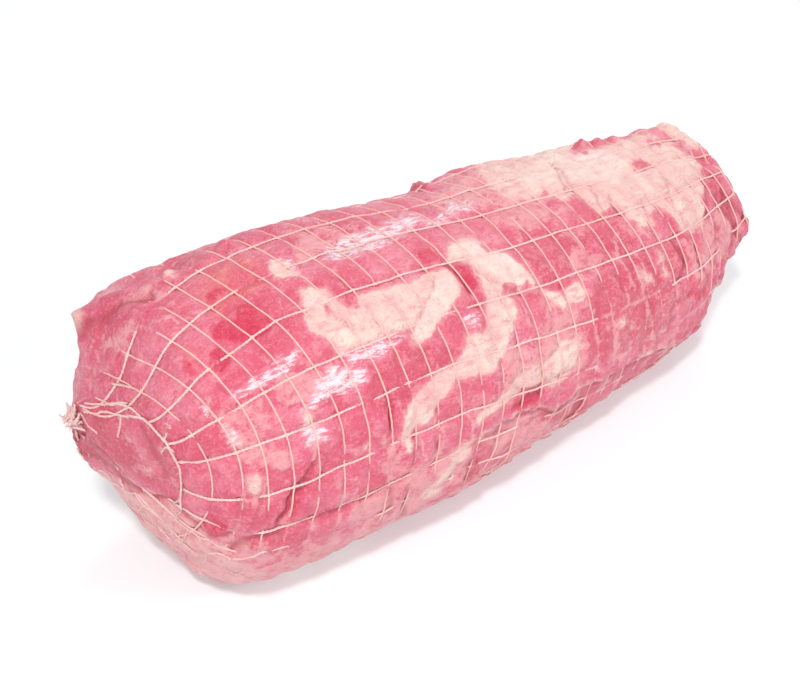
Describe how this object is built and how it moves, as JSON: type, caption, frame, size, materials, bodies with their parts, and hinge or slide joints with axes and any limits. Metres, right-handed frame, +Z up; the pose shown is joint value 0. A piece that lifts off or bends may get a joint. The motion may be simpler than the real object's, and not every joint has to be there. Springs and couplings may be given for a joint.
{
  "type": "rolled veal roast",
  "caption": "Raw boneless veal roast, rolled into a tapering cylinder and held by an elastic square-mesh net that is gathered at both ends.",
  "frame": {"origin": "middle of the bounding box, on the resting plane", "axes": "+X along the roll towards its narrow end, -X to the end with the draw ring and the knot, -Y to the front, +Z up"},
  "size_m": [0.3602, 0.1397, 0.1388],
  "materials": {
    "meat": "moist raw lean meat with patches of cream fat",
    "netting": "fuzzy knitted elastic thread"
  },
  "bodies": {
    "root": {"meat": "meat", "netting": "netting"}
  },
  "joints": []
}
